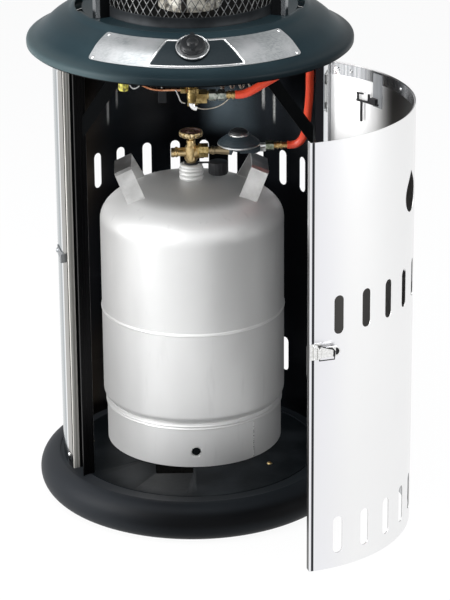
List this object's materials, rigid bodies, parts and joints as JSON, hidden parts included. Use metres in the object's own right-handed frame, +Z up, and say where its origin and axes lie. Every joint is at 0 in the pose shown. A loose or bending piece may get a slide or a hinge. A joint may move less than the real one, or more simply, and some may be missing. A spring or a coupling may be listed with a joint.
{
  "type": "gas patio heater",
  "caption": "Round patio heater: gas cylinder behind a curved hinged door, control knob on a sloped collar, mesh-guarded burner under a round hood.",
  "frame": {"origin": "centre of the base's underside, on the floor", "axes": "+Z up along the housing, -Y out of the opening, +X to the side of the door's hinges"},
  "size_m": [0.6138, 0.7777, 1.254],
  "materials": {
    "dark_paint": "semi-gloss dark blue-grey coat",
    "floor_black": "satin black coat",
    "concrete": "cast concrete",
    "bottom_steel": "black coat",
    "brass_screw": "worn zinc-yellow head",
    "polished_steel": "polished stainless sheet",
    "inner_steel": "satin sheet",
    "black_strut": "black coat",
    "bright_screw": "bright head",
    "latch_steel": "nickel plated",
    "hinge_steel": "satin",
    "grey_bracket": "grey coat",
    "black_wire": "black wire",
    "plate_grey": "satin grey plate",
    "chrome_trim": "bright",
    "spindle_steel": "turned",
    "knob_plastic": "black moulded",
    "valve_brass": "forged and turned",
    "fitting_plated": "olive plated and raw brass",
    "copper": "copper tube",
    "yellow_plastic": "moulded",
    "black_plastic": "moulded",
    "burner_steel": "heat-marked sheet",
    "guard_grey": "grey band",
    "mesh_black": "black expanded mesh",
    "post_steel": "bright bar",
    "cylinder_aluminium": "blasted aluminium",
    "handle_aluminium": "bright aluminium strap",
    "regulator_paint": "dark pearl coat",
    "union_brass": "dark brass",
    "hose_rubber": "orange-red gas hose"
  },
  "bodies": {
    "housing": {"base_cover": "dark_paint", "floor_plate": "floor_black", "ballast": "concrete", "bottom_plate": "bottom_steel", "floor_screws": "brass_screw", "housing_shell": "polished_steel", "left_channel": "polished_steel", "right_stiffener": "inner_steel", "left_brace": "black_strut", "right_brace": "black_strut", "shell_screws": "bright_screw", "latch_keeper": "latch_steel", "hinge_fixed_leaves": "hinge_steel", "hinge_pins": "hinge_steel", "top_ring": "black_strut", "collar": "dark_paint", "control_plate": "plate_grey", "plate_screws": "bright_screw", "knob_bezel": "chrome_trim", "gas_valve": "valve_brass", "valve_fittings": "fitting_plated", "pilot_tube": "copper", "igniter_plug": "yellow_plastic", "tilt_switch": "black_plastic", "burner_deck": "burner_steel", "burner_can": "chrome_trim", "guard_band": "guard_grey", "guard_mesh": "mesh_black", "guard_top": "guard_grey", "posts": "post_steel", "post_liners": "black_strut", "reflector": "inner_steel", "hood": "dark_paint", "hood_nut": "bright_screw", "cylinder_body": "cylinder_aluminium", "cylinder_foot": "cylinder_aluminium", "cylinder_handles": "handle_aluminium", "neck_ring": "handle_aluminium", "cylinder_valve": "valve_brass", "valve_cap": "black_plastic", "regulator": "regulator_paint", "regulator_cap": "chrome_trim", "hose_tail": "fitting_plated", "gas_hose": "hose_rubber"},
    "door": {"door_skin": "polished_steel", "door_top_hem": "polished_steel", "door_bottom_hem": "polished_steel", "door_free_flange": "polished_steel", "door_hinge_flange": "inner_steel", "door_bracket": "grey_bracket", "door_clip": "black_wire", "door_rivets": "bright_screw", "hinge_door_leaves": "hinge_steel", "latch_base": "latch_steel"},
    "latch_lever": {"latch_lever": "latch_steel"},
    "latch_bail": {"latch_bail": "black_wire"},
    "knob_spindle": {"knob_spindle": "spindle_steel"},
    "control_knob": {"control_knob": "knob_plastic"},
    "handwheel": {"handwheel": "valve_brass"},
    "union_nut": {"union_nut": "union_brass"}
  },
  "joints": [
    {"name": "door_hinge", "type": "hinge", "parent": "housing", "child": "door", "pos_m": [0.21684, -0.07046, 0.406], "axis": [0, 0, 1], "range_deg": [-80, 30]},
    {"name": "latch_lever_turn", "type": "hinge", "parent": "door", "child": "latch_lever", "pos_m": [0.1718, -0.49232, 0.424], "axis": [0, 0, -1], "range_deg": [0, 60]},
    {"name": "latch_bail_turn", "type": "hinge", "parent": "latch_lever", "child": "latch_bail", "pos_m": [0.17727, -0.49515, 0.424], "axis": [0, 0, -1], "range_deg": [0, 115]},
    {"name": "knob_push", "type": "slide", "parent": "housing", "child": "knob_spindle", "axis": [0, 0.5, -0.866], "range_m": [0, 0.004], "stiffness_N_per_m": 1500},
    {"name": "knob_turn", "type": "hinge", "parent": "knob_spindle", "child": "control_knob", "pos_m": [0, -0.21, 0.809], "axis": [0, -0.5, 0.866], "range_deg": [0, 210]},
    {"name": "handwheel_turn", "type": "hinge", "parent": "housing", "child": "handwheel", "pos_m": [0, 0.056, 0.585], "axis": [0, 0, 1], "range_deg": [0, 720]},
    {"name": "union_nut_turn", "type": "hinge", "parent": "housing", "child": "union_nut", "pos_m": [0.02, 0.056, 0.56], "axis": [1, 0, 0], "continuous": true}
  ]
}
